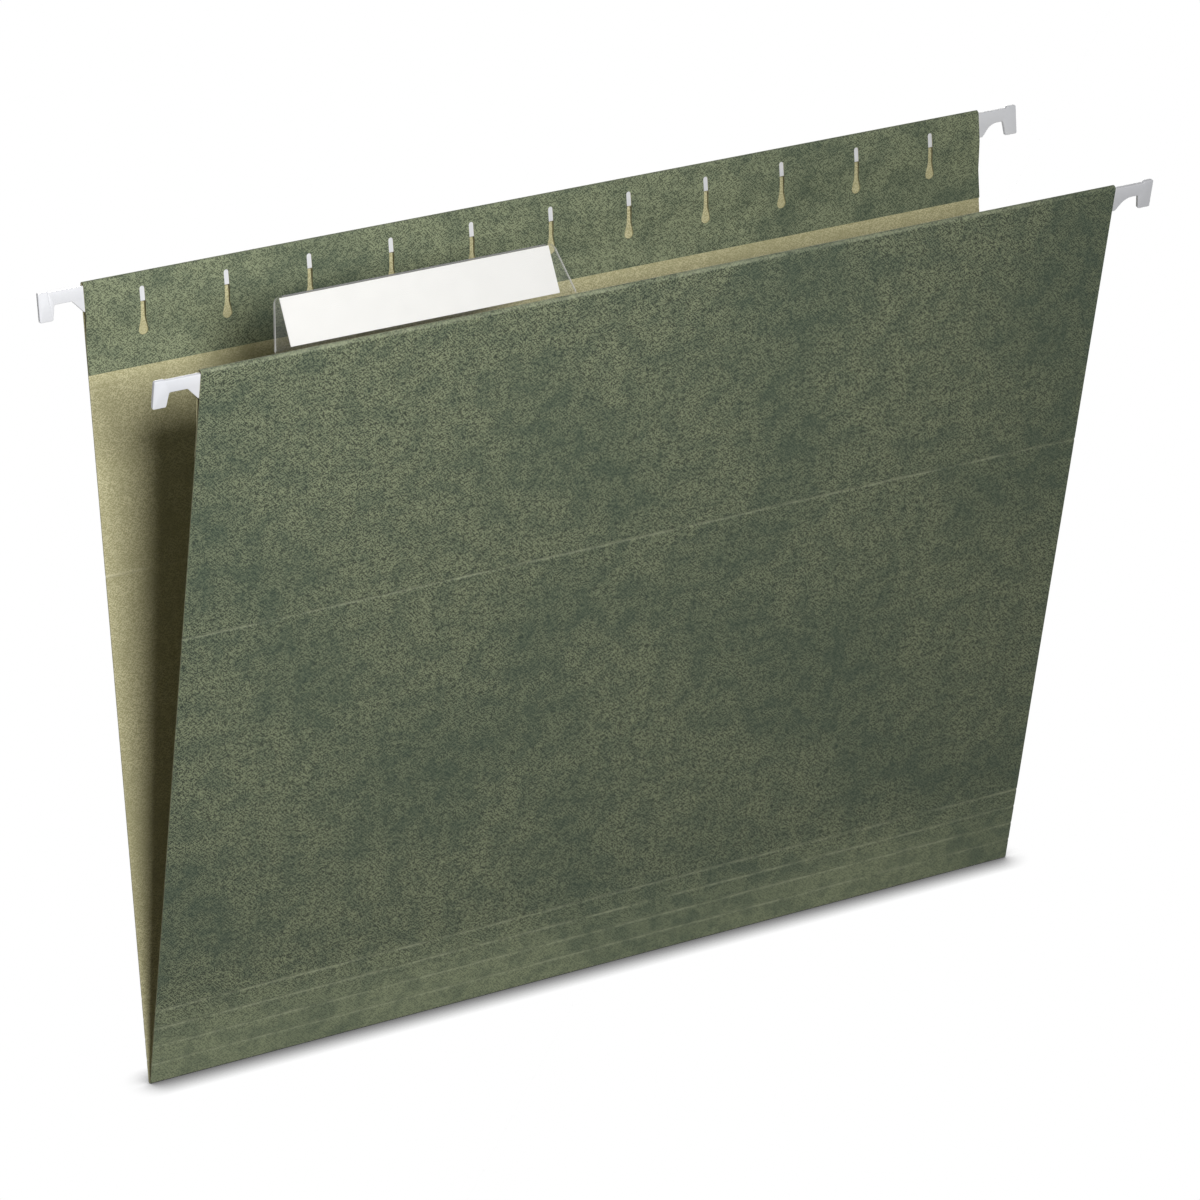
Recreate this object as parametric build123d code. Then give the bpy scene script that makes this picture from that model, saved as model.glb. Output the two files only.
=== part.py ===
"""Letter-size hanging file folder, standing open as a shallow V.

Lengths are in millimetres and angles in degrees. The origin is where the folder hangs: midway between the
two rods, at the level of the rails under the hooks. +X runs along the rods, -Y is the front, which carries
the tab, and +Z is up. Places on a panel are given by their height up the panel from the bottom crease and
by their distance outwards from the plane through the crease.
"""
import math
import os

from build123d import *

# Paper body: one sheet, folded at the bottom and turned in over a rod at each top edge
PAPER = 0.3                   # thickness of the stock
FOLDER_WIDTH = 298.45         # along the rods, 11-3/4 in
FOLDER_HEIGHT = 238.125       # bottom crease to top fold, 9-3/8 in
HALF_ANGLE = 8.7              # lean of each panel from vertical
CREASE_RADIUS = 0.35          # inside radius of the bottom fold
CREASE_CLEARANCE = 0.15       # from the bottom fold to the paper that turns on it

# Scores: lines where the paper is pressed thin and bends
SCORE_PITCH = 6.35            # 1/4 in between the base scores
SCORE_COUNT = 4               # base scores on each side, the outermost of which is a hinge
MID_SCORE_DEPTH = 85.725      # top fold to the mid score, 3-3/8 in
SCORE_GAP = 0.35              # width of paper given up to a score that hinges
GROOVE_WIDTH = 0.8            # of a score that stays flat
GROOVE_DEPTH = 0.1

# Flaps: the turned-in top edges, glued down below the rods
FLAP_DEPTH = 27.0             # top fold to the flap's free edge
SLEEVE_SPARE = 0.7            # below the rod, to where the flap starts towards its panel
GLUE_DEPTH = 18.3             # top fold to where the flap meets its panel
GLUE = 0.1                    # thickness of the glue
GLUE_END_MARGIN = 3.0         # from the glue's ends to the paper's ends

# Slots in the flaps, which take the prongs of a tab: a narrow neck over a round bulb
SLOT_PITCH = 26.3             # outwards from a slot at the folder's middle
SLOT_END_MARGIN = 15.0        # least width of paper from a slot's middle to the paper's end
SLOT_DEPTH = 4.0              # top fold to the top of the slot
SLOT_LENGTH = 14.3
NECK_WIDTH = 1.6
NECK_LENGTH = 10.2            # the parallel stretch
BULB_WIDTH = 3.0

# Rods: flat steel with a hook at each end
ROD_THICKNESS = 1.2
ROD_CLEARANCE = 0.1           # from the rod's faces to the paper round it
ROD_DEPTH = 7.5               # of the bar inside the paper
HOOK_REACH = 13.8             # from the paper's end to the hook's tip
ARM_DEPTH = 3.85              # of the arm that rests on the rail
LEG_DEPTH = 8.3               # of the hook's leg, from the top of the rod
LEG_WIDTH = 4.8               # at the arm
LEG_TAPER = 0.7               # narrower at its end
CORNER_ROUND = 0.5            # of the hooks' corners
LEFT_SHOULDER_REACH = 0.2     # from the paper's end to where the full bar begins
LEFT_GUSSET_LENGTH = 3.4      # straight gusset between bar and arm
LEFT_GUSSET_ROUND = 0.5
RIGHT_SHOULDER_REACH = 1.4
RIGHT_GUSSET_LENGTH = 3.2     # hollow gusset between bar and arm
RIGHT_GUSSET_ROUND = 5.0
TIP_LENGTH = 3.0              # of the raised tip on top of each hook
LEFT_TIP_RISE = 0.25
RIGHT_TIP_RISE = 0.5

# Tab: two leaves of clear vinyl round a paper label, on a foot that hooks into the front flap
VINYL = 0.25
LABEL = 0.25                  # thickness of the label
LABEL_CLEARANCE = 0.05        # between the label and each leaf
LABEL_WIDTH = 84.0
LABEL_HEIGHT = 13.5
LABEL_END_CLEARANCE = 0.1     # from the label's long edges to the seam and the crest
TAB_SLOT = -3                 # slot that the tab is centred on, counted from the middle one
TAB_LEAN = 30.0               # from vertical, towards the back
TAB_FLARE_TOP = 1.5           # leaf past each end of the label, at the crest
TAB_FLARE_BOTTOM = 5.0        # leaf past each end of the label, at the seam
TAB_CORNER_ROUND = 2.5
SEAM = 0.4                    # height of the weld along the bottom
CREST = 0.4                   # height of the folded edge along the top
TAB_HINGE_DROP = 0.3          # top fold to the living hinge
TAB_HINGE_GAP = 0.35          # from the living hinge to the sleeve and to the foot
FOOT_STRIP_DEPTH = 4.0
TONGUE_WIDTH = 8.0
TONGUE_DEPTH = 15.0           # top fold to the tongue's end
PRONG_SPACING = 2             # in slots
STEM_WIDTH = 1.2
STEM_HEIGHT = 2.1
HEAD_WIDTH = 2.6
HEAD_DROP = 0.4               # from the rod down to the prong's head
HEAD_OVERLAP = 0.4            # of the prong's head past its stem, above and below
HEAD_THICKNESS = 0.3
HEAD_CLEARANCE = 0.15         # from the flap to the prong's head

FRONT = 1
BACK = -1

# Places that follow from the sizes above
LEAN_SINE = math.sin(math.radians(HALF_ANGLE))
LEAN_COSINE = math.cos(math.radians(HALF_ANGLE))
PANEL_IN = CREASE_RADIUS
PANEL_OUT = PANEL_IN + PAPER
PANEL_MIDDLE = PANEL_IN + PAPER / 2
BASE_HEIGHT = SCORE_COUNT * SCORE_PITCH
MID_SCORE_HEIGHT = FOLDER_HEIGHT - MID_SCORE_DEPTH
SLOTS_EACH_SIDE = math.floor((FOLDER_WIDTH / 2 - SLOT_END_MARGIN) / SLOT_PITCH)
SLEEVE_RADIUS = ROD_THICKNESS / 2 + ROD_CLEARANCE
FOLD_RADIUS = SLEEVE_RADIUS + PAPER
FOLD_CENTRE = PANEL_OUT - FOLD_RADIUS
ROD_TOP = FOLDER_HEIGHT - FOLD_RADIUS
ROD_BOTTOM = ROD_TOP - ROD_DEPTH
ARM_UNDERSIDE = ROD_TOP - ARM_DEPTH
FLAP_IN = FOLD_CENTRE - FOLD_RADIUS
FLAP_OUT = FLAP_IN + PAPER
SLEEVE_DEPTH = FOLD_RADIUS + ROD_DEPTH + SLEEVE_SPARE
LAND_OUT = PANEL_IN - GLUE
LAND_IN = LAND_OUT - PAPER
CREASE_Z = FOLD_CENTRE * LEAN_SINE - ARM_UNDERSIDE * LEAN_COSINE
TAB_X = TAB_SLOT * SLOT_PITCH
CHANNEL = LABEL + 2 * LABEL_CLEARANCE
TAB_HINGE_HEIGHT = FOLDER_HEIGHT - TAB_HINGE_DROP
TAB_HINGE_OUT = FLAP_IN - VINYL / 2
HEAD_TOP = FOLD_RADIUS + ROD_DEPTH + HEAD_DROP
STEM_TOP = HEAD_TOP + HEAD_OVERLAP
STEM_BOTTOM = STEM_TOP + STEM_HEIGHT
HEAD_BOTTOM = STEM_BOTTOM + HEAD_OVERLAP
LABEL_BOTTOM = TAB_HINGE_GAP + SEAM + LABEL_END_CLEARANCE
TAB_HEIGHT = LABEL_BOTTOM + LABEL_HEIGHT + LABEL_END_CLEARANCE + CREST


def section_plane(side):
    """Plane across a panel: its x points out of the folder and its y up the panel."""
    outward = (0, -side * LEAN_COSINE, -LEAN_SINE)
    return Plane(origin=(0, 0, CREASE_Z), x_dir=outward, z_dir=(-side, 0, 0))


def face_plane(side, outward):
    """Plane along a panel, so far out of the folder: its x is +X and its y runs up the panel."""
    towards_front = (0, -LEAN_COSINE, -side * LEAN_SINE)
    origin = section_plane(side).from_local_coords((outward, 0))
    return Plane(origin=origin, x_dir=(1, 0, 0), z_dir=towards_front)


def tab_plane():
    """Plane of the leaning tab, on its living hinge: x is +X and y runs up the tab."""
    lean = math.radians(TAB_LEAN)
    hinge = section_plane(FRONT).from_local_coords((TAB_HINGE_OUT, TAB_HINGE_HEIGHT))
    towards_front = (0, -math.cos(lean), math.sin(lean))
    return Plane(origin=hinge + Vector(TAB_X, 0, 0), x_dir=(1, 0, 0), z_dir=towards_front)


def rectangle(x_low, x_high, y_low, y_high):
    """Rectangle between two pairs of coordinates."""
    centre = Pos((x_low + x_high) / 2, (y_low + y_high) / 2)
    return centre * Rectangle(x_high - x_low, y_high - y_low)


def across_folder(side, section, width=FOLDER_WIDTH):
    """Solid with this section, running along the rods and centred on the folder."""
    return extrude(section_plane(side) * section, width / 2, both=True)


def panel(side, low, high):
    """Flat stretch of a panel between two heights."""
    return across_folder(side, rectangle(PANEL_IN, PANEL_OUT, low, high))


def base(side):
    """Strip between the crease and the outermost base score, with the inner scores as grooves outside."""
    low = PANEL_OUT + CREASE_CLEARANCE
    high = BASE_HEIGHT - SCORE_GAP / 2
    outline = [(PANEL_IN, high), (PANEL_IN, low), (PANEL_OUT, low)]
    for number in range(1, SCORE_COUNT):
        height = number * SCORE_PITCH
        outline.append((PANEL_OUT, height - GROOVE_WIDTH / 2))
        outline.append((PANEL_OUT - GROOVE_DEPTH, height))
        outline.append((PANEL_OUT, height + GROOVE_WIDTH / 2))
    outline.append((PANEL_OUT, high))
    return across_folder(side, make_face(Polyline(*outline, close=True)))


def ring_section(outer, inner):
    """Section of bent paper between two arcs about the same centre."""
    return make_face([outer, Line(outer @ 1, inner @ 1), inner, Line(inner @ 0, outer @ 0)])


def bottom_crease():
    """Rounded fold under the two panels."""
    start = 180 + HALF_ANGLE
    sweep = 180 - 2 * HALF_ANGLE
    outer = CenterArc((0, 0), PANEL_OUT, start, sweep)
    inner = CenterArc((0, 0), PANEL_IN, start, sweep)
    across = Plane(origin=(0, 0, CREASE_Z), x_dir=(0, 1, 0), z_dir=(1, 0, 0))
    return extrude(across * ring_section(outer, inner), FOLDER_WIDTH / 2, both=True)


def slot_outline():
    """Teardrop slot, hung from its top edge: a neck that widens into a bulb."""
    neck = NECK_WIDTH / 2
    bulb = BULB_WIDTH / 2
    neck_end = Pos(0, neck - NECK_LENGTH) * Circle(neck)
    bulb_end = Pos(0, bulb - SLOT_LENGTH) * Circle(bulb)
    stem = Pos(0, -NECK_LENGTH / 2) * SlotOverall(NECK_LENGTH, NECK_WIDTH, rotation=90)
    return stem + make_hull(neck_end.edges() + bulb_end.edges())


def top_fold(side):
    """Rounded fold over the rod, from the panel to the flap."""
    outer = CenterArc((FOLD_CENTRE, ROD_TOP), FOLD_RADIUS, 0, 180)
    inner = CenterArc((FOLD_CENTRE, ROD_TOP), SLEEVE_RADIUS, 0, 180)
    return across_folder(side, ring_section(outer, inner))


def flap(side):
    """Turned-in flap, which runs down the rod, slopes to its panel and ends in a glued land."""
    sleeve_end = FOLDER_HEIGHT - SLEEVE_DEPTH
    land_top = FOLDER_HEIGHT - GLUE_DEPTH
    land_end = FOLDER_HEIGHT - FLAP_DEPTH
    inside = [(FLAP_IN, ROD_TOP), (FLAP_IN, sleeve_end), (LAND_IN, land_top), (LAND_IN, land_end)]
    outside = [(LAND_OUT, land_end), (LAND_OUT, land_top), (FLAP_OUT, sleeve_end), (FLAP_OUT, ROD_TOP)]
    sheet = across_folder(side, make_face(Polyline(*inside, *outside, close=True)))
    row_of_slots = face_plane(side, FLAP_IN) * Pos(0, FOLDER_HEIGHT - SLOT_DEPTH)
    places = GridLocations(SLOT_PITCH, 0, 2 * SLOTS_EACH_SIDE + 1, 1)
    slots = Sketch() + [row_of_slots * place * slot_outline() for place in places]
    return sheet - extrude(slots, FOLD_RADIUS + ROD_THICKNESS, both=True)


def glue_line(side):
    """Film between the flap's land and its panel."""
    film = rectangle(LAND_OUT, PANEL_IN, FOLDER_HEIGHT - FLAP_DEPTH, FOLDER_HEIGHT - GLUE_DEPTH)
    return across_folder(side, film, FOLDER_WIDTH - 2 * GLUE_END_MARGIN)


def hook_corners(tip_rise, shoulder_reach, gusset_length, gusset_round):
    """Corners of one hook with their rounds, from the top of the arm round to the bottom of the bar."""
    shoulder = FOLDER_WIDTH / 2 + shoulder_reach
    tip = FOLDER_WIDTH / 2 + HOOK_REACH
    leg_bottom = ROD_TOP - LEG_DEPTH
    leg_in = tip - LEG_WIDTH
    return [
        (tip - TIP_LENGTH - tip_rise, ROD_TOP, tip_rise / 2),
        (tip - TIP_LENGTH, ROD_TOP + tip_rise, tip_rise / 2),
        (tip, ROD_TOP + tip_rise, CORNER_ROUND),
        (tip, leg_bottom, CORNER_ROUND),
        (leg_in + LEG_TAPER, leg_bottom, CORNER_ROUND),
        (leg_in, ARM_UNDERSIDE, CORNER_ROUND),
        (shoulder + gusset_length, ARM_UNDERSIDE, gusset_round),
        (shoulder, ROD_BOTTOM, CORNER_ROUND),
    ]


def rod(side):
    """Flat rod in its sleeve: the bar, and a hook at each end with its own gusset."""
    right = hook_corners(RIGHT_TIP_RISE, RIGHT_SHOULDER_REACH, RIGHT_GUSSET_LENGTH, RIGHT_GUSSET_ROUND)
    left = hook_corners(LEFT_TIP_RISE, LEFT_SHOULDER_REACH, LEFT_GUSSET_LENGTH, LEFT_GUSSET_ROUND)
    corners = right + [(-x, height, corner_round) for x, height, corner_round in reversed(left)]
    points = [(x, height) for x, height, corner_round in corners]
    rounds = [corner_round for x, height, corner_round in corners]
    outline = make_face(FilletPolyline(*points, radius=rounds, close=True))
    return extrude(face_plane(side, FOLD_CENTRE) * outline, ROD_THICKNESS / 2, both=True)


def foot_block(width, depth_high, depth_low, outward_low, outward_high):
    """Block of the tab's foot, centred on x = 0, between two depths below the top fold."""
    height = depth_low - depth_high
    centre = Pos(0, FOLDER_HEIGHT - (depth_high + depth_low) / 2, (outward_high - outward_low) / 2)
    return face_plane(FRONT, outward_low) * centre * Box(width, height, outward_high - outward_low)


def tab_foot():
    """Strip on the inside of the front flap, with two tongues whose prongs hold in the slots."""
    strip_top = TAB_HINGE_DROP + TAB_HINGE_GAP
    strip_bottom = strip_top + FOOT_STRIP_DEPTH
    strip_width = LABEL_WIDTH + 2 * TAB_FLARE_BOTTOM
    foot_in = FLAP_IN - VINYL
    slope = (LAND_OUT - FLAP_OUT) / (GLUE_DEPTH - SLEEVE_DEPTH)
    head_in = FLAP_OUT + slope * (HEAD_BOTTOM - SLEEVE_DEPTH) + HEAD_CLEARANCE
    head_out = head_in + HEAD_THICKNESS
    tongue = foot_block(TONGUE_WIDTH, strip_bottom, TONGUE_DEPTH, foot_in, FLAP_IN)
    stem = foot_block(STEM_WIDTH, STEM_TOP, STEM_BOTTOM, foot_in, head_out)
    head = foot_block(HEAD_WIDTH, HEAD_TOP, HEAD_BOTTOM, head_in, head_out)
    foot = foot_block(strip_width, strip_top, strip_bottom, foot_in, FLAP_IN)
    for place in (-PRONG_SPACING / 2, PRONG_SPACING / 2):
        foot += Pos(place * SLOT_PITCH, 0, 0) * (tongue + stem + head)
    return Pos(TAB_X, 0, 0) * foot


def tab_outline():
    """Leaf of the tab: sides that flare towards the seam, and round corners at the crest."""
    top = LABEL_WIDTH / 2 + TAB_FLARE_TOP
    bottom = LABEL_WIDTH / 2 + TAB_FLARE_BOTTOM
    corners = [(-bottom, TAB_HINGE_GAP), (bottom, TAB_HINGE_GAP), (top, TAB_HEIGHT), (-top, TAB_HEIGHT)]
    leaf = make_face(Polyline(*corners, close=True))
    return fillet(leaf.vertices().group_by(Axis.Y)[-1], TAB_CORNER_ROUND)


def tab_leaf(towards_front):
    """One leaf of the sleeve, in front of the label (1) or behind it (-1)."""
    middle = towards_front * (CHANNEL + VINYL) / 2
    return tab_plane() * Pos(0, 0, middle) * extrude(tab_outline(), VINYL / 2, both=True)


def tab_bar(width, low, high):
    """Bar between the two leaves, from one height up the tab to another."""
    return tab_plane() * Pos(0, (low + high) / 2) * Box(width, high - low, CHANNEL)


def label_insert():
    """Paper label in the channel between the leaves."""
    centre = Pos(0, LABEL_BOTTOM + LABEL_HEIGHT / 2)
    return tab_plane() * centre * Box(LABEL_WIDTH, LABEL_HEIGHT, LABEL)


def folder_nodes():
    """Every piece of the folder by name."""
    seam_width = LABEL_WIDTH + 2 * TAB_FLARE_BOTTOM - 2 * SEAM
    crest_width = LABEL_WIDTH + 2 * TAB_FLARE_TOP - 2 * TAB_CORNER_ROUND
    nodes = {
        "bottom_crease": bottom_crease(),
        "tab_foot": tab_foot(),
        "tab_seam": tab_bar(seam_width, TAB_HINGE_GAP, TAB_HINGE_GAP + SEAM),
        "tab_window": tab_leaf(1),
        "tab_back_leaf": tab_leaf(-1),
        "tab_crest": tab_bar(crest_width, TAB_HEIGHT - CREST, TAB_HEIGHT),
        "label_insert": label_insert(),
    }
    for name, side in (("front", FRONT), ("back", BACK)):
        nodes[name + "_base"] = base(side)
        nodes[name + "_lower_panel"] = panel(
            side, BASE_HEIGHT + SCORE_GAP / 2, MID_SCORE_HEIGHT - SCORE_GAP / 2)
        nodes[name + "_upper_panel"] = panel(side, MID_SCORE_HEIGHT + SCORE_GAP / 2, ROD_TOP)
        nodes[name + "_top_fold"] = top_fold(side)
        nodes[name + "_flap"] = flap(side)
        nodes[name + "_glue_line"] = glue_line(side)
        nodes[name + "_rod"] = rod(side)
    return nodes


def print_places():
    """Print the axes that the creases turn on and the undersides of the hooks."""
    for name, side in (("front", FRONT), ("back", BACK)):
        section = section_plane(side)
        for crease, height in (("base score", BASE_HEIGHT), ("mid score", MID_SCORE_HEIGHT)):
            print(name, crease, section.from_local_coords((PANEL_MIDDLE, height)))
        print(name, "hook underside", section.from_local_coords((FOLD_CENTRE, ARM_UNDERSIDE)))
    print("bottom crease at z =", CREASE_Z)
    print("tab hinge", section_plane(FRONT).from_local_coords((TAB_HINGE_OUT, TAB_HINGE_HEIGHT)))


os.makedirs("parts", exist_ok=True)
for node_name, solid in folder_nodes().items():
    export_step(solid, "parts/" + node_name + ".step")
print_places()
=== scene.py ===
# %% [markdown]
# # A hanging file folder
# The folder is one sheet of green paper stock, folded at the bottom, with a flat steel rod in each
# turned-in top edge and a clear tab in the front one. The solids of its pieces come from the CAD model,
# in metres, and set every size and place. This lesson gives them paper, steel and vinyl to look at, and
# a studio to stand in.

# %% Load the frame
import math

import bmesh
import bpy
import numpy as np
from mathutils import Matrix, Vector


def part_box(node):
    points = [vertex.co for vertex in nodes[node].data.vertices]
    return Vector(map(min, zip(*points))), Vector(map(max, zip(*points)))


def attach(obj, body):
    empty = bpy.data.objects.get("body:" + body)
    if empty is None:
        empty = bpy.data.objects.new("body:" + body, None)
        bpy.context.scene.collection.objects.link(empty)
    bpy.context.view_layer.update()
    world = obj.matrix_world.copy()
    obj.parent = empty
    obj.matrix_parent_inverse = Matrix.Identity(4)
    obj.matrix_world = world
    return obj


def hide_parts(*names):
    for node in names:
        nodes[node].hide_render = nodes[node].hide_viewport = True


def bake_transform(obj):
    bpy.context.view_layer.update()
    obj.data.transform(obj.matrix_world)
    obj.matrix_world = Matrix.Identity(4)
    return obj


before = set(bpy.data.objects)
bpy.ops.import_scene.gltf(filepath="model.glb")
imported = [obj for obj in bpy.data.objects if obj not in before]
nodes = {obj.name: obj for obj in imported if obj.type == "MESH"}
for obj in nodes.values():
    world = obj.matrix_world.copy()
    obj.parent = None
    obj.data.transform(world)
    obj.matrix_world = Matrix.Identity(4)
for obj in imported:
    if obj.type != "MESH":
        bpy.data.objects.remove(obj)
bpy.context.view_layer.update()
print("CAD nodes:", len(nodes))

# %% [markdown]
# ## Sizes
# The sheets of paper below follow the CAD panels exactly, so they start from the same sizes. Anything
# along a panel is given by its height above the bottom crease, and anything across it by its distance
# outwards.

# %% Sizes, in metres
MM = 0.001
PAPER = 0.3 * MM
FOLDER_WIDTH = 298.45 * MM
FOLDER_HEIGHT = 238.125 * MM
HALF_ANGLE = math.radians(8.7)
CREASE_RADIUS = 0.35 * MM
SCORE_PITCH = 6.35 * MM
SCORE_COUNT = 4
MID_SCORE_DEPTH = 85.725 * MM
SLEEVE_RADIUS = 0.7 * MM
SLEEVE_LENGTH = 8.2 * MM
GLUE = 0.1 * MM
GLUE_DEPTH = 18.3 * MM
FLAP_DEPTH = 27 * MM
HOOK_ARM_DEPTH = 3.85 * MM
SIDES = {"front": 1, "back": -1}
print("sheet", FOLDER_WIDTH, "by", FOLDER_HEIGHT, "folded")

# %% Places that follow from them
BASE_HEIGHT = SCORE_COUNT * SCORE_PITCH
MID_SCORE_HEIGHT = FOLDER_HEIGHT - MID_SCORE_DEPTH
ROD_TOP = FOLDER_HEIGHT - SLEEVE_RADIUS - PAPER
SLEEVE_END = ROD_TOP - SLEEVE_LENGTH
LAND_TOP = FOLDER_HEIGHT - GLUE_DEPTH
LAND_END = FOLDER_HEIGHT - FLAP_DEPTH
FOLD_CENTRE = CREASE_RADIUS - SLEEVE_RADIUS
FLAP_FACE = FOLD_CENTRE - SLEEVE_RADIUS
LAND_FACE = CREASE_RADIUS - GLUE
CREASE_Z = FOLD_CENTRE * math.sin(HALF_ANGLE) - (ROD_TOP - HOOK_ARM_DEPTH) * math.cos(HALF_ANGLE)
CREASE_RUN = (CREASE_RADIUS + PAPER / 2) * (math.pi / 2 - HALF_ANGLE)


def on_panel(side, outward, height, across=0.0):
    """Point on a leaning panel, from its distance outwards and its height above the crease."""
    y = -side * (outward * math.cos(HALF_ANGLE) + height * math.sin(HALF_ANGLE))
    z = CREASE_Z - outward * math.sin(HALF_ANGLE) + height * math.cos(HALF_ANGLE)
    return Vector((across, y, z))


print("crease at", on_panel(1, 0, 0), "top fold at", on_panel(1, 0, FOLDER_HEIGHT))

# %% [markdown]
# ## Node formulas
# Materials and Geometry Nodes are both graphs. Wiring each Math node by hand hides the idea behind it,
# so a small class wraps a socket and turns Python's operators into Math nodes. Every other node comes
# from one method, which takes its type, its settings and what goes into its sockets.


# %% A socket that can be used in a formula
class Wire:
    """Output of a node. Operators on it add Math nodes to the same tree."""

    def __init__(self, tree, socket=None):
        self.tree = tree
        self.socket = socket

    def node(self, kind, settings=None, sockets=None, output=0):
        """Add a node with these settings, then fill its sockets with values or links."""
        made = self.tree.nodes.new(kind)
        for name, value in (settings or {}).items():
            setattr(made, name, value)
        for name, value in (sockets or {}).items():
            target = made.inputs[name]
            if isinstance(value, Wire):
                self.tree.links.new(value.socket, target)
            else:
                target.default_value = value
        return Wire(self.tree, made.outputs[output]) if len(made.outputs) else None

    def other(self, name):
        """Another output of the node that this one comes from."""
        return Wire(self.tree, self.socket.node.outputs[name])

    def math(self, operation, *values):
        return self.node("ShaderNodeMath", {"operation": operation}, dict(enumerate(values)))

    def __add__(self, value):
        return self.math("ADD", self, value)

    def __radd__(self, value):
        return self.math("ADD", value, self)

    def __sub__(self, value):
        return self.math("SUBTRACT", self, value)

    def __rsub__(self, value):
        return self.math("SUBTRACT", value, self)

    def __mul__(self, value):
        return self.math("MULTIPLY", self, value)

    def __rmul__(self, value):
        return self.math("MULTIPLY", value, self)

    def __truediv__(self, value):
        return self.math("DIVIDE", self, value)

    def __abs__(self):
        return self.math("ABSOLUTE", self)

    def rounded(self):
        """Nearest whole number."""
        return self.math("ROUND", self)

    def step(self, low, high):
        """Smooth step of this value: 0 at low, 1 at high."""
        return self.node(
            "ShaderNodeMapRange",
            {"interpolation_type": "SMOOTHSTEP"},
            {"Value": self, "From Min": low, "From Max": high},
        )

    def mix(self, first, second, amount, blend="MIX"):
        """Colour between two others, each of them a wire or a constant."""
        return self.node(
            "ShaderNodeMix",
            {"data_type": "RGBA", "blend_type": blend},
            {0: amount, 6: first, 7: second},
            output=2,
        )


def as_colour(*channels):
    """Linear colour from the 0 to 255 values of a screen colour."""
    scaled = [channel / 255 for channel in channels]
    linear = [c / 12.92 if c <= 0.04045 else ((c + 0.055) / 1.055) ** 2.4 for c in scaled]
    return (*linear, 1)


print("formula class ready, mid grey is", round(as_colour(128)[0], 3))

# %% [markdown]
# ## Paper finish
# The stock is a mill-coloured kraft board: green outside and tan inside. Up close it is a felt of
# fibres, with lighter flecks, cloudy patches where the dye took unevenly, and pale lines where it was
# scored or folded. The fold's pale line is partly a painted highlight, and the base, fold and flap are
# painted paler: painted light, for light bounced up from the floor and falling from above. A picture of
# paper would be the quick way; instead the pattern is worked out from the sheet's own UV map, which gives
# the distance along the rods and the run of the sheet from the crease, both in metres. The same pattern
# then flows over every piece of the sheet, and it bends with the paper when the folder opens.


# %% Helpers for materials
def new_material(name):
    """Empty material, and a wire to start formulas from."""
    material = bpy.data.materials.new(name)
    material.use_nodes = True
    material.node_tree.nodes.clear()
    return material, Wire(material.node_tree)


def noise(wire, vector, scale, detail=2.0, roughness=0.5):
    """Noise between 0 and 1, with features of about one over its scale."""
    return wire.node(
        "ShaderNodeTexNoise",
        None,
        {"Vector": vector, "Scale": scale, "Detail": detail, "Roughness": roughness},
    )


def stretched(wire, vector, angle, along):
    """Coordinates turned by an angle and drawn out along it, for strands that lie one way."""
    return wire.node(
        "ShaderNodeMapping",
        {"vector_type": "TEXTURE"},
        {"Vector": vector, "Rotation": (0, 0, angle), "Scale": (along, 1, 1)},
    )


def bumped(wire, height, strength, distance):
    """Normal of a surface that a pattern raises by up to a distance."""
    return wire.node("ShaderNodeBump", None, {"Strength": strength, "Distance": distance, "Height": height})


def surface(wire, sockets):
    """Principled shader with these sockets, joined to the material's output."""
    shader = wire.node("ShaderNodeBsdfPrincipled", None, sockets)
    wire.node("ShaderNodeOutputMaterial", None, {"Surface": shader})


print("material helpers ready")

# %% Fibres of the paper
FLECK_SIZE = 0.4 * MM
STRAND_LENGTH = 5
STRAND_LEANS = (0.5, -0.8)


def fibres(wire, sheet):
    """Felt of fibres between 0 and 1: half of it flecks, half of it strands that lie two ways."""
    felt = 0.5 * noise(wire, sheet, 1 / FLECK_SIZE, 1.5, 0.6)
    for lean in STRAND_LEANS:
        lying = stretched(wire, sheet, lean, STRAND_LENGTH)
        felt = felt + 0.25 * noise(wire, lying, 1 / FLECK_SIZE, 1, 0.5)
    return felt


print("strands are", STRAND_LENGTH * FLECK_SIZE, "long")

# %% Wear at the scores, and painted light on the top fold, base and flap
NICK_SIZE = 2.5 * MM
NICKED = (0.32, 0.68)
LINE_CORE = 0.1 * MM
BASE_LINE_REACH = 0.9 * MM
MID_LINE_REACH = 0.8 * MM
BASE_LINE_WEAR = 0.6
MID_LINE_WEAR = 0.54
FIRST_SCORE = (0.6 * SCORE_PITCH, 0.7 * SCORE_PITCH)
LAST_SCORE = (BASE_HEIGHT + 3 * MM, BASE_HEIGHT + 2 * MM)
FOLD_END = ROD_TOP + math.pi * SLEEVE_RADIUS
FOLD_EDGE = 0.5 * MM
FOLD_CREST = 0.6 * MM
# The top fold's pale line is partly wear and partly a painted highlight where the rounded fold catches the
# light.
FOLD_WEAR_AND_HIGHLIGHT = 0.5
# Painted light: the base, and the top fold with the flap beyond it, are painted paler, for light bounced
# from the floor and falling from above.
BASE_LIGHT_UP_TO = BASE_HEIGHT + 6 * MM
BASE_PAINTED_LIGHT = 0.42
FLAP_PAINTED_LIGHT = 0.2


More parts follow.
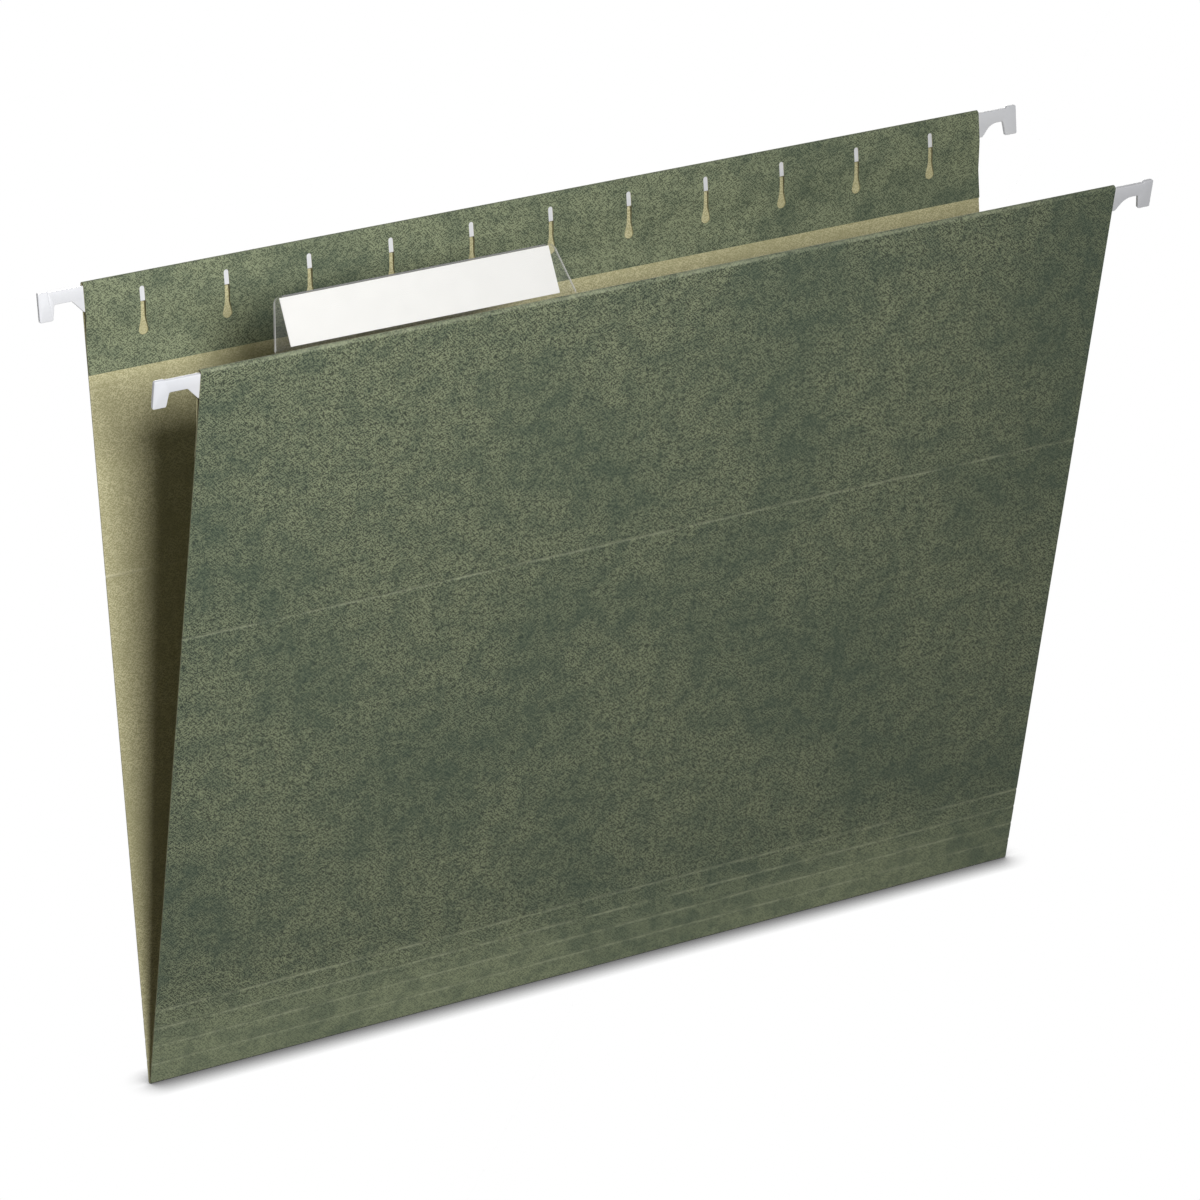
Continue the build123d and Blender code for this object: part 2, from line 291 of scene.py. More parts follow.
def wear_and_fold_highlight(wire, sheet, height):
    """How pale the lines are: worn at the scores, and on the top fold worn and a painted highlight, broken
    into nicks.
    """
    base_line = abs(height - SCORE_PITCH * (height / SCORE_PITCH).rounded())
    in_base = height.step(*FIRST_SCORE) * height.step(*LAST_SCORE)
    mid_line = abs(height - MID_SCORE_HEIGHT)
    # Top fold: wear, and a painted highlight of the rounded fold.
    fold = height.step(ROD_TOP, ROD_TOP + FOLD_EDGE) * height.step(FOLD_END, ROD_TOP + FOLD_CREST)
    wear_and_highlight = BASE_LINE_WEAR * base_line.step(BASE_LINE_REACH, LINE_CORE) * in_base
    wear_and_highlight = wear_and_highlight + MID_LINE_WEAR * mid_line.step(MID_LINE_REACH, LINE_CORE) + FOLD_WEAR_AND_HIGHLIGHT * fold
    nicks = noise(wire, stretched(wire, sheet, 0, STRAND_LENGTH), 1 / NICK_SIZE, 3, 0.7)
    return wear_and_highlight * nicks.step(*NICKED)


def painted_light_on_base_and_flap(height):
    """Painted light: how much paler the base, the top fold and the flap are painted, for light from the
    floor and from above.
    """
    return BASE_PAINTED_LIGHT * height.step(BASE_LIGHT_UP_TO, SCORE_PITCH) + FLAP_PAINTED_LIGHT * height.step(ROD_TOP, FOLD_END)


print("wear on", SCORE_COUNT + 1, "scores of each side")

# %% Paper stock
CLOUD_SIZE = 7 * MM
PATCH_SIZE = 60 * MM
FIBRE_EDGE = (0.45, 0.55)
FIBRE_TONE = 0.84
CLOUD_TONE = 0.25
LEAST_TONE = -0.05
CLOUD_COOLED = (0.58, 0.36)
CLOUD_COOLING = 0.33
PATCH_COOLED = (0.56, 0.38)
PATCH_COOLING = 0.3
FIBRE_HEIGHT = 0.08 * MM
FIBRE_BUMP = 0.3


def paper_finish(name, dark, light, cool, worn_and_highlit):
    """Fibrous board of a dark and a light tone, cooler in patches, worn pale at scores and top fold, with
    painted light making its fold, base and flap paler.
    """
    material, wire = new_material(name)
    sheet = wire.node("ShaderNodeUVMap", {"uv_map": "sheet"})
    height = abs(wire.node("ShaderNodeSeparateXYZ", None, {0: sheet}).other("Y")) - CREASE_RUN
    felt = fibres(wire, sheet)
    cloud = noise(wire, sheet, 1 / CLOUD_SIZE, 3, 0.6)
    patch = noise(wire, sheet, 1 / PATCH_SIZE, 2, 0.5)
    # The painted light on the base, fold and flap is added to the tone here.
    tone = FIBRE_TONE * felt.step(*FIBRE_EDGE) + CLOUD_TONE * cloud + LEAST_TONE + painted_light_on_base_and_flap(height)
    cooling = CLOUD_COOLING * cloud.step(*CLOUD_COOLED) + PATCH_COOLING * patch.step(*PATCH_COOLED)
    colour = wire.mix(dark, light, tone)
    colour = wire.mix(colour, cool, cooling)
    colour = wire.mix(colour, worn_and_highlit, wear_and_fold_highlight(wire, sheet, height))
    bump = bumped(wire, felt, FIBRE_BUMP, FIBRE_HEIGHT)
    surface(wire, {"Base Color": colour, "Roughness": 0.7 + 0.2 * cloud, "Normal": bump})
    return material


green_stock = paper_finish(
    "green_stock",
    dark=as_colour(24, 34, 24),
    light=as_colour(152, 161, 128),
    cool=as_colour(58, 76, 62),
    worn_and_highlit=as_colour(176, 182, 152),
)
tan_stock = paper_finish(
    "tan_stock",
    dark=as_colour(176, 170, 126),
    light=as_colour(226, 220, 178),
    cool=as_colour(184, 179, 136),
    worn_and_highlit=as_colour(228, 223, 188),
)
print("paper finishes:", green_stock.name, tan_stock.name)

# %% [markdown]
# ## Cut edge
# Where the sheet was cut, its bare core shows as a thin pale line. It is plain to see on the left edge
# of the front panel. A pale line could be painted along the border of the board, but the thickness
# itself would stay green. So the faces of the cut get a finish of their own, paler than the board and
# finely mottled.

# %% Cut edge
CORE_SCALE = 1500


def cut_edge_finish():
    """Bare core of the board."""
    material, wire = new_material("cut_edge")
    place = wire.node("ShaderNodeTexCoord").other("Object")
    grain = noise(wire, place, CORE_SCALE, 2, 0.6)
    colour = wire.mix(as_colour(150, 150, 118), as_colour(190, 186, 150), grain.step(0.35, 0.7))
    surface(wire, {"Base Color": colour, "Roughness": 0.8 + 0.15 * grain})
    return material


cut_edge = cut_edge_finish()
print("cut edge finish:", cut_edge.name)

# %% [markdown]
# ## Pressed paper, by Geometry Nodes
# A score is a line pressed into the board, and every piece of the sheet is scored by the same rule: a
# groove at each quarter inch of the base and one at mid height. Modelling each groove by hand would
# repeat the same work for every piece. Here the sheet starts as its tan face alone, a plain grid, and a
# node tree presses the grooves by the run of the sheet, lets the board wave a little, then gives it the
# thickness of the paper and tells green face, tan face and cut edge apart.


# %% Helpers for trees
def new_tree(name, inputs):
    """Geometry Nodes tree with these named inputs, with a wire for each of them."""
    tree = bpy.data.node_groups.new(name, "GeometryNodeTree")
    tree.is_modifier = True
    for label, kind in inputs.items():
        tree.interface.new_socket(label, in_out="INPUT", socket_type="NodeSocket" + kind)
    tree.interface.new_socket("Geometry", in_out="OUTPUT", socket_type="NodeSocketGeometry")
    start = Wire(tree).node("NodeGroupInput")
    return tree, {label: start.other(label) for label in inputs}


def set_materials(wire, geometry, finishes):
    """Close a tree: Realize Instances, then a Set Material for each finish and the faces it goes on."""
    geometry = wire.node("GeometryNodeRealizeInstances", None, {"Geometry": geometry})
    for finish, faces in finishes:
        sockets = {"Geometry": geometry, "Material": finish}
        if faces is not None:
            sockets["Selection"] = faces
        geometry = wire.node("GeometryNodeSetMaterial", None, sockets)
    wire.node("NodeGroupOutput", None, {"Geometry": geometry})


def named(wire, name, kind):
    """Attribute of the geometry that comes in."""
    return wire.node("GeometryNodeInputNamedAttribute", {"data_type": kind}, {"Name": name})


def stored(wire, geometry, name, value):
    """Geometry with a yes or no stored on its faces."""
    return wire.node(
        "GeometryNodeStoreNamedAttribute",
        {"data_type": "BOOLEAN", "domain": "FACE"},
        {"Geometry": geometry, "Name": name, "Value": value},
    )


print("tree helpers ready")

# %% The tree that presses and thickens paper
WAVE_SCALE = 11
WAVE_FROM = (15 * MM, 60 * MM)
WAVE_UP_TO = (205 * MM, 165 * MM)
WELD = 0.001 * MM


def pressing(wire, given, run):
    """How far the tan face moves along its normal: the wave of the board less the groove of a score."""
    height = abs(run) - CREASE_RUN
    number = (height / given["Score Pitch"]).rounded()
    number = number.math("MINIMUM", number.math("MAXIMUM", number, 1), given["Score Count"])
    base_line = abs(height - number * given["Score Pitch"])
    line = base_line.math("MINIMUM", base_line, abs(height - given["Mid Score"]))
    groove = line.step(given["Score Width"] / 2, 0.0) * given["Score Depth"]
    across = wire.node("ShaderNodeSeparateXYZ", None, {0: wire.node("GeometryNodeInputPosition")})
    spot = wire.node("ShaderNodeCombineXYZ", None, {"X": across, "Y": run})
    wave = noise(wire, spot, WAVE_SCALE, 1, 0.4) - 0.5
    return wave * given["Wave"] * height.step(*WAVE_FROM) * height.step(*WAVE_UP_TO) - groove


def pressed_paper_tree():
    """Tree that scores, waves and thickens the tan face of a piece of the sheet."""
    tree, given = new_tree("pressed_paper", {
        "Geometry": "Geometry", "Thickness": "Float", "Score Pitch": "Float", "Score Count": "Float",
        "Mid Score": "Float", "Score Width": "Float", "Score Depth": "Float", "Wave": "Float",
        "Outside": "Material", "Inside": "Material", "Edge": "Material"})
    wire = given["Geometry"]
    shift = pressing(wire, given, named(wire, "run", "FLOAT"))
    normal = wire.node("GeometryNodeInputNormal")
    offset = wire.node("ShaderNodeVectorMath", {"operation": "SCALE"}, {"Vector": normal, "Scale": shift})
    face = wire.node("GeometryNodeSetPosition", None, {"Geometry": given["Geometry"], "Offset": offset})
    thick = wire.node(
        "GeometryNodeExtrudeMesh", None,
        {"Mesh": face, "Offset Scale": given["Thickness"], "Individual": False})
    sheet = stored(wire, thick, "outside", thick.other("Top"))
    sheet = stored(wire, sheet, "edge", thick.other("Side"))
    inner = wire.node("GeometryNodeFlipFaces", None, {"Mesh": face})
    both = wire.node("GeometryNodeJoinGeometry")
    for part in (inner, sheet):
        tree.links.new(part.socket, both.socket.node.inputs[0])
    whole = wire.node("GeometryNodeMergeByDistance", None, {"Geometry": both, "Distance": WELD})
    whole = stored(wire, whole, "paper", True)
    set_materials(wire, whole, [
        (given["Inside"], None),
        (given["Outside"], named(wire, "outside", "BOOLEAN")),
        (given["Edge"], named(wire, "edge", "BOOLEAN"))])
    return tree


pressed_paper = pressed_paper_tree()
print("tree", pressed_paper.name, "has", len(pressed_paper.nodes), "nodes")

# %% Apply a tree to a piece
SHARP_PAPER = math.radians(35)


def apply_tree(piece, tree, values):
    """Run a tree on a piece, its inputs set by their identifiers, and keep the result as a plain mesh."""
    modifier = piece.modifiers.new(tree.name, "NODES")
    modifier.node_group = tree
    for item in tree.interface.items_tree:
        if item.in_out == "INPUT" and item.name in values:
            modifier[item.identifier] = values[item.name]
    graph = bpy.context.evaluated_depsgraph_get()
    result = bpy.data.meshes.new_from_object(
        piece.evaluated_get(graph), preserve_all_data_layers=True, depsgraph=graph)
    piece.modifiers.remove(modifier)
    first = piece.data
    piece.data = result
    bpy.data.meshes.remove(first)
    result.name = piece.name
    for index in reversed(range(len(result.materials))):
        if result.materials[index] is None:
            result.materials.pop(index=index)
    result.shade_smooth()
    result.set_sharp_from_angle(angle=SHARP_PAPER)


def link(name, data):
    """New object at the origin with this data."""
    piece = bpy.data.objects.new(name, data)
    bpy.context.scene.collection.objects.link(piece)
    return piece


PRESSED = {
    "Thickness": PAPER, "Score Pitch": SCORE_PITCH, "Score Count": float(SCORE_COUNT),
    "Mid Score": MID_SCORE_HEIGHT, "Score Width": 1.3 * MM, "Score Depth": 0.16 * MM, "Wave": 0.5 * MM,
    "Outside": green_stock, "Inside": tan_stock, "Edge": cut_edge}
print("tree inputs:", ", ".join(PRESSED))

# %% [markdown]
# ## The tan face of each piece
# The sheet is cut up where it hinges, so each stretch between two hinges is a piece on its own body.
# Its tan face is a grid: columns along the rods, and rows that follow the section of the sheet. Rows
# stand close together at the scores and round the folds, where the paper turns, and far apart on the
# flats.

# %% Rows of a flat stretch
ROW_STEP = 5 * MM
LEAST_ROW_STEP = 0.05 * MM
SCORE_HEIGHTS = [number * SCORE_PITCH for number in range(1, SCORE_COUNT + 1)] + [MID_SCORE_HEIGHT]
SCORE_ROWS = [gap * MM for gap in (-0.8, -0.6, -0.5, -0.3, -0.15, 0, 0.15, 0.3, 0.5, 0.6, 0.8)]


def row_heights(low, high):
    """Heights of a flat stretch's rows, close together at the scores."""
    rows = set(np.linspace(low, high, max(2, round((high - low) / ROW_STEP) + 1)))
    rows |= {score + gap for score in SCORE_HEIGHTS for gap in SCORE_ROWS if low < score + gap < high}
    kept = []
    for height in sorted(rows):
        if not kept or height - kept[-1] > LEAST_ROW_STEP:
            kept.append(height)
    kept[-1] = high
    return kept


def flat_section(low, high):
    """Section of a flat stretch of panel."""
    return [(CREASE_RADIUS, height) for height in row_heights(low, high)]


def panel_rows(side, section):
    """Rows of one side from points of (outward, height), with the run counted on from the first."""
    rows = []
    run = CREASE_RUN + section[0][1]
    for index, (outward, height) in enumerate(section):
        if index:
            run += math.dist(section[index - 1], section[index])
        point = on_panel(side, outward, height)
        rows.append((point.y, point.z, side * run))
    return rows


print("rows of a whole base:", len(flat_section(0, BASE_HEIGHT)))

# %% Grid through rows
COLUMNS = 60


def tan_face(name, rows, turned):
    """Grid through rows of (y, z, run), with the sheet's UV map and the run of each point."""
    across = np.linspace(-FOLDER_WIDTH / 2, FOLDER_WIDTH / 2, COLUMNS + 1)
    points = [(x, y, z) for y, z, run in rows for x in across]
    runs = [run for y, z, run in rows for x in across]
    faces = []
    for row in range(len(rows) - 1):
        for column in range(COLUMNS):
            corner = row * (COLUMNS + 1) + column
            face = (corner, corner + 1, corner + COLUMNS + 2, corner + COLUMNS + 1)
            faces.append(face[::-1] if turned else face)
    mesh = bpy.data.meshes.new(name)
    mesh.from_pydata(points, [], faces)
    mesh.attributes.new("run", "FLOAT", "POINT").data.foreach_set("value", runs)
    uv = mesh.uv_layers.new(name="sheet").data
    for loop in mesh.loops:
        uv[loop.index].uv = (points[loop.vertex_index][0], runs[loop.vertex_index])
    return link(name, mesh)


print("columns", round(FOLDER_WIDTH / COLUMNS, 4), "wide")

# %% [markdown]
# ## Lower panels and bases
# Between the crease and the mid score each side has two flats: the inch of base with its scores, and
# the lower panel. The CAD panels could simply be coloured, but they are dead flat and have no UV map
# for the fibres to follow. So a pressed sheet takes the place of each, and stops short of the scores
# that hinge.

# %% Lower panels and bases
STRIP = 1.5 * MM
FLATS = [
    ("_base_sheet", 0.0, BASE_HEIGHT - STRIP, "_base", "_base"),
    ("_lower_sheet", BASE_HEIGHT + STRIP, MID_SCORE_HEIGHT - STRIP, "_lower", "_lower_panel")]
for name, side in SIDES.items():
    for part, low, high, body, node in FLATS:
        piece = tan_face(name + part, panel_rows(side, flat_section(low, high)), side < 0)
        apply_tree(piece, pressed_paper, PRESSED)
        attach(piece, name + body)
        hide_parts(name + node)
        print(piece.name, len(piece.data.polygons), "faces")

# %% [markdown]
# ## Hinging scores and the bottom crease
# Paper has no hinge pin: it bends over a short stretch. Two stiff panels that only met at a line would
# gape on one side and cross on the other as they turn. So a narrow strip of sheet crosses each score
# that hinges, and a small round one makes the bottom crease.

# %% Strips across the hinging scores
HINGES = [
    ("_mid_score", MID_SCORE_HEIGHT, "_lower", "_upper"),
    ("_base_score", BASE_HEIGHT, "_base", "_lower")]
for name, side in SIDES.items():
    for part, height, below, above in HINGES:
        section = flat_section(height - STRIP, height + STRIP)
        piece = tan_face(name + part, panel_rows(side, section), side < 0)
        apply_tree(piece, pressed_paper, PRESSED)
        low = on_panel(side, CREASE_RADIUS, height - STRIP)
        high = on_panel(side, CREASE_RADIUS, height + STRIP)
        name + below
        name + above
        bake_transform(piece)
        print(piece.name, len(piece.data.polygons), "faces")

# %% Bottom crease
CREASE_STEPS = 14
turns = np.linspace(math.pi + HALF_ANGLE, 2 * math.pi - HALF_ANGLE, CREASE_STEPS + 1)
crease_rows = []
for index, turn in enumerate(turns):
    y = CREASE_RADIUS * math.cos(turn)
    z = CREASE_Z + CREASE_RADIUS * math.sin(turn)
    crease_rows.append((y, z, CREASE_RUN * (1 - 2 * index / CREASE_STEPS)))
crease = tan_face("bottom_crease_sheet", crease_rows, True)
apply_tree(crease, pressed_paper, PRESSED)
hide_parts("bottom_crease")
back_side = on_panel(-1, CREASE_RADIUS, 0)
front_side = on_panel(1, CREASE_RADIUS, 0)
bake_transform(crease)
print(crease.name, len(crease.data.polygons), "faces")

# %% [markdown]
# ## Upper panels with their flaps
# Above the mid score the sheet runs up the panel, over the rod and down the inside as a flap, which
# slopes to the panel and is glued there. It is one stretch of paper, so it is one piece. Eleven slots
# in the flap take the prongs of a tab. They are perforations in a row, so a second tree sets one punch
# out along the flap and cuts the row from the sheet. The punch has the outline of the slot: a neck over
# a round bulb.

# %% Outline of a slot
SLOT_TOP = FOLDER_HEIGHT - 4 * MM
SLOT_LENGTH = 14.3 * MM
NECK_LENGTH = 10.2 * MM
NECK_RADIUS = 0.8 * MM
BULB_RADIUS = 1.5 * MM
NECK_END = NECK_LENGTH - NECK_RADIUS
BULB_CENTRE = SLOT_LENGTH - BULB_RADIUS


def slot_outline():
    """Points of (across, depth below the slot's top) round the neck and the bulb."""
    lean = math.degrees(math.asin((BULB_RADIUS - NECK_RADIUS) / (BULB_CENTRE - NECK_END)))
    points = []
    for radius, centre, first, last, count in (
            (NECK_RADIUS, NECK_RADIUS, 180, 360, 12),
            (NECK_RADIUS, NECK_END, 0, -lean, 3),
            (BULB_RADIUS, BULB_CENTRE, -lean, 180 + lean, 24),
            (NECK_RADIUS, NECK_END, 180 + lean, 180, 3)):
        for turn in np.radians(np.linspace(first, last, count)):
            points.append((radius * math.cos(turn), centre + radius * math.sin(turn)))
    return points


print("slot outline has", len(slot_outline()), "points")

# %% The slot punch
PUNCH_FROM = -1.9 * MM
PUNCH_TO = 0.31 * MM
SAME_POINT = 0.0001 * MM


def finished_mesh(name, mesh, finish):
    """Plain mesh from a bmesh, in one finish."""
    data = bpy.data.meshes.new(name)
    mesh.to_mesh(data)
    mesh.free()
    data.materials.append(finish)
    return data


def slot_punch(name, side):
    """Solid punch across the flap at the folder's middle."""
    mesh = bmesh.new()
    outline = slot_outline()
    near, far = [
        [mesh.verts.new(on_panel(side, outward, SLOT_TOP - depth, across)) for across, depth in outline]
        for outward in (PUNCH_FROM, PUNCH_TO)]
    mesh.faces.new(near)
    mesh.faces.new(far[::-1])
    for index in range(len(outline)):
        after = (index + 1) % len(outline)
        mesh.faces.new((near[index], far[index], far[after], near[after]))
    bmesh.ops.remove_doubles(mesh, verts=mesh.verts, dist=SAME_POINT)
    bmesh.ops.recalc_face_normals(mesh, faces=mesh.faces)
    return link(name, finished_mesh(name, mesh, cut_edge))


print("punch is", round(PUNCH_TO - PUNCH_FROM, 5), "deep")


# %% The tree that punches the row of slots
def punched_slots_tree():
    """Tree that sets the punch out in a row and cuts it from the sheet."""
    tree, given = new_tree("punched_slots", {
        "Geometry": "Geometry", "Punch": "Object", "Slots": "Int", "Pitch": "Float", "Edge": "Material"})
    wire = given["Geometry"]
    punch = wire.node("GeometryNodeObjectInfo", None, {"Object": given["Punch"]}).other("Geometry")
    first = wire.node("ShaderNodeCombineXYZ", None, {"X": (given["Slots"] - 1) * given["Pitch"] * -0.5})
    pitch = wire.node("ShaderNodeCombineXYZ", None, {"X": given["Pitch"]})
    row = wire.node(
        "GeometryNodeMeshLine", None,
        {"Count": given["Slots"], "Start Location": first, "Offset": pitch})
    punches = wire.node("GeometryNodeInstanceOnPoints", None, {"Points": row, "Instance": punch})
    punches = wire.node("GeometryNodeRealizeInstances", None, {"Geometry": punches})
    cut = wire.node(
        "GeometryNodeMeshBoolean", {"operation": "DIFFERENCE", "solver": "MANIFOLD"},
        {"Mesh 1": given["Geometry"], "Mesh 2": punches})
    bare = wire.node("FunctionNodeBooleanMath", {"operation": "NOT"}, {0: named(wire, "paper", "BOOLEAN")})
    set_materials(wire, cut, [(given["Edge"], bare)])
    return tree


punched_slots = punched_slots_tree()
print("tree", punched_slots.name, "has", len(punched_slots.nodes), "nodes")

# %% Upper panels
SLOT_COUNT = 11
SLOT_PITCH = 26.3 * MM
FOLD_STEPS = 16
FLAP_STEPS = 4
PUNCHED = {"Slots": SLOT_COUNT, "Pitch": SLOT_PITCH, "Edge": cut_edge}


def upper_section():
    """Section from the mid score up the panel, over the rod and down the flap to its edge."""
    section = flat_section(MID_SCORE_HEIGHT + STRIP, ROD_TOP)
    for turn in np.linspace(0, math.pi, FOLD_STEPS + 1)[1:]:
        outward = FOLD_CENTRE + SLEEVE_RADIUS * math.cos(turn)
        section.append((outward, ROD_TOP + SLEEVE_RADIUS * math.sin(turn)))
    corners = [(FLAP_FACE, ROD_TOP), (FLAP_FACE, SLEEVE_END), (LAND_FACE, LAND_TOP), (LAND_FACE, LAND_END)]
    for start, end in zip(corners, corners[1:]):
        for step in range(1, FLAP_STEPS + 1):
            share = step / FLAP_STEPS
            section.append((start[0] + (end[0] - start[0]) * share, start[1] + (end[1] - start[1]) * share))
    return section


for name, side in SIDES.items():
    piece = tan_face(name + "_upper_sheet", panel_rows(side, upper_section()), side < 0)
    apply_tree(piece, pressed_paper, PRESSED)
    punch = slot_punch("slot_punch", side)
    apply_tree(piece, punched_slots, {**PUNCHED, "Punch": punch})
    bpy.data.objects.remove(punch)
    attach(piece, name + "_upper")
    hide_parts(name + "_upper_panel", name + "_top_fold", name + "_flap")
    print(piece.name, len(piece.data.polygons), "faces", [finish.name for finish in piece.data.materials])

# %% [markdown]
# ## Steel rods
# The rods are stamped from flat steel and dipped in a white coating, which rounds every edge a little.
# The CAD rod has the right outline but razor edges, which never catch the light. So a copy of it is
# merged into whole faces, its edges are bevelled, and it takes the place of the CAD rod.

# %% White coating
PEEL_SCALE = 700
PEEL_HEIGHT = 0.05 * MM
PEEL_BUMP = 0.1
SHADE_SCALE = 60


def coated_steel_finish():
    """White dip coating with a faint orange peel."""
    material, wire = new_material("white_coating")
    place = wire.node("ShaderNodeTexCoord").other("Object")
    peel = noise(wire, place, PEEL_SCALE, 2, 0.5)
    shade = noise(wire, place, SHADE_SCALE, 2, 0.5)
    colour = wire.mix(as_colour(247, 248, 252), as_colour(243, 245, 250), shade.step(0.45, 0.7))
    bump = bumped(wire, peel, PEEL_BUMP, PEEL_HEIGHT)
    surface(wire, {
        "Base Color": colour, "Roughness": 0.28 + 0.12 * shade, "Normal": bump, "Coat Weight": 0.5})
    return material


white_coating = coated_steel_finish()
print("rod finish:", white_coating.name)

# %% Rods with rounded edges
EDGE_ROUND = 0.22 * MM
FLAT_WITHIN = math.radians(0.5)
BEVELLED_FROM = math.radians(50)
SHARP_STEEL = math.radians(40)
for name in SIDES:
    mesh = bmesh.new()
    mesh.from_mesh(nodes[name + "_rod"].data)
    bmesh.ops.remove_doubles(mesh, verts=mesh.verts, dist=WELD)
    bmesh.ops.dissolve_limit(mesh, angle_limit=FLAT_WITHIN, verts=mesh.verts, edges=mesh.edges)
    shared = [edge for edge in mesh.edges if len(edge.link_faces) == 2]
    edges = [edge for edge in shared if edge.calc_face_angle() > BEVELLED_FROM]
    bmesh.ops.bevel(mesh, geom=edges, offset=EDGE_ROUND, segments=3, profile=0.5, affect="EDGES")
    data = finished_mesh(name + "_coated_rod", mesh, white_coating)
    data.shade_smooth()
    data.set_sharp_from_angle(angle=SHARP_STEEL)
    rod = link(name + "_coated_rod", data)
    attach(rod, name + "_upper")
    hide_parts(name + "_rod")
    print(rod.name, len(data.polygons), "faces")

# %% [markdown]
# ## Tab, label and glue
# The tab is clear vinyl, two leaves welded along the foot and folded at the top, with a paper label
# between them. Real vinyl is almost invisible face on and shows at its edges and in its shine. A glass
# shader would be slow and would bend the label out of place, so it is a thin mix of clear and gloss
# instead, with a painted highlight along the side edges and a folded crest painted grey for the dark
# flap seen through it. The label and the dried glue under the flaps are dull surfaces, each with a
# faint mottling of its own.

# %% Vinyl
TAB_LEAN = math.radians(30)
TAB_FACING = (0, -math.cos(TAB_LEAN), math.sin(TAB_LEAN))
tab_low, tab_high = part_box("tab_window")
TAB_MIDDLE = (tab_low[0] + tab_high[0]) / 2
TAB_REACH = (tab_high[0] - tab_low[0]) / 2
TAB_FLARE = 3.5 * MM
CLEAR = (0.985, 0.985, 0.98, 1)
HAZE_SCALE = 90
HAZE = 0.03
SHEEN = 0.15
# Painted highlight: a thin band on the faces along the tab's side edges stands in for the light caught by
# the cut rim.
EDGE_HIGHLIGHT_BAND = (0.3 * MM, 0.1 * MM)
EDGE_HIGHLIGHT = 0.4
RIM_TURN = (0.8, 0.3)
RIM_FADE = (0.0, 0.12)


def vinyl_finish(name, face, rim, tint):
    """Clear sheet: see-through on its faces, more solid at its cut rim and at a glancing view, with a
    painted highlight in a thin band along its side edges.
    """
    material, wire = new_material(name)
    spot = wire.node("ShaderNodeTexCoord")
    across = wire.node("ShaderNodeSeparateXYZ", None, {0: spot.other("Object")})
    haze = noise(wire, spot.other("Object"), HAZE_SCALE, 2, 0.5)
    along = wire.node("ShaderNodeLayerWeight", None, {"Blend": 0.2}).other("Fresnel")
    square_on = wire.node(
        "ShaderNodeVectorMath", {"operation": "DOT_PRODUCT"},
        {0: spot.other("Normal"), 1: TAB_FACING}).other("Value")
    rise = (across.other("Z") - tab_low[2]) / (tab_high[2] - tab_low[2])
    inside = TAB_REACH - TAB_FLARE * rise - abs(across - TAB_MIDDLE)
    cut = abs(square_on).step(*RIM_TURN) * rise.step(*RIM_FADE)
    # The last term paints that highlight band along the side edges.
    amount = face + HAZE * haze + SHEEN * along + (rim - face) * cut + EDGE_HIGHLIGHT * inside.step(*EDGE_HIGHLIGHT_BAND)
    clear = wire.node("ShaderNodeBsdfTransparent", None, {"Color": CLEAR})
    gloss = wire.node(
        "ShaderNodeBsdfPrincipled", None,
        {"Base Color": tint, "Roughness": 0.1 + 0.08 * haze, "IOR": 1.52})
    vinyl = wire.node("ShaderNodeMixShader", None, {0: amount, 1: clear, 2: gloss})
    wire.node("ShaderNodeOutputMaterial", None, {"Surface": vinyl})
    return material


clear_vinyl = vinyl_finish("clear_vinyl", face=0.0, rim=0.85, tint=as_colour(232, 232, 228))
# Painted refraction: the crest is grey and more solid, standing in for the dark flap seen bent through the
# folded vinyl.
vinyl_edge = vinyl_finish("vinyl_edge", face=0.6, rim=0.85, tint=as_colour(150, 150, 152))
print("vinyl finishes:", clear_vinyl.name, vinyl_edge.name)

# %% Label and glue
TOOTH_SCALE = 1800
TOOTH_HEIGHT = 0.005 * MM
TOOTH_BUMP = 0.01
TINT_SCALE = 120
FILM_SCALE = 300


def label_finish():
    """Smooth white card with a faint tooth."""
    material, wire = new_material("label_card")
    place = wire.node("ShaderNodeTexCoord").other("Object")
    tooth = noise(wire, place, TOOTH_SCALE, 3, 0.6)
    tint = noise(wire, place, TINT_SCALE, 2, 0.5)
    colour = wire.mix(as_colour(252, 251, 250), as_colour(250, 249, 248), tint.step(0.4, 0.7))
    bump = bumped(wire, tooth, TOOTH_BUMP, TOOTH_HEIGHT)
    surface(wire, {"Base Color": colour, "Roughness": 0.6 + 0.05 * tooth, "Normal": bump})
    return material


def glue_finish():
    """Dried glue, a dull yellowish film."""
    material, wire = new_material("dried_glue")
    place = wire.node("ShaderNodeTexCoord").other("Object")
    film = noise(wire, place, FILM_SCALE, 2, 0.5)
    colour = wire.mix(as_colour(205, 199, 170), as_colour(180, 172, 140), film)
    surface(wire, {"Base Color": colour, "Roughness": 0.4 + 0.3 * film})
    return material


finishes = {
    "label_insert": label_finish(), "tab_window": clear_vinyl, "tab_back_leaf": clear_vinyl,
    "tab_foot": clear_vinyl, "tab_seam": clear_vinyl, "tab_crest": vinyl_edge}
glue = glue_finish()
for name in SIDES:
    finishes[name + "_glue_line"] = glue
for name, finish in finishes.items():
    nodes[name].data.materials.clear()
    nodes[name].data.materials.append(finish)
print("finishes on CAD pieces:", len(finishes))

# %% [markdown]
# ## Living hinge of the tab
# The tab tilts where its vinyl is pressed thin, between the foot behind the flap and the sleeve. It
# sits three slots to the left of the middle. The solids of foot and sleeve leave a gap there, which
# would show when the tab tilts, so a thin strip closes it.

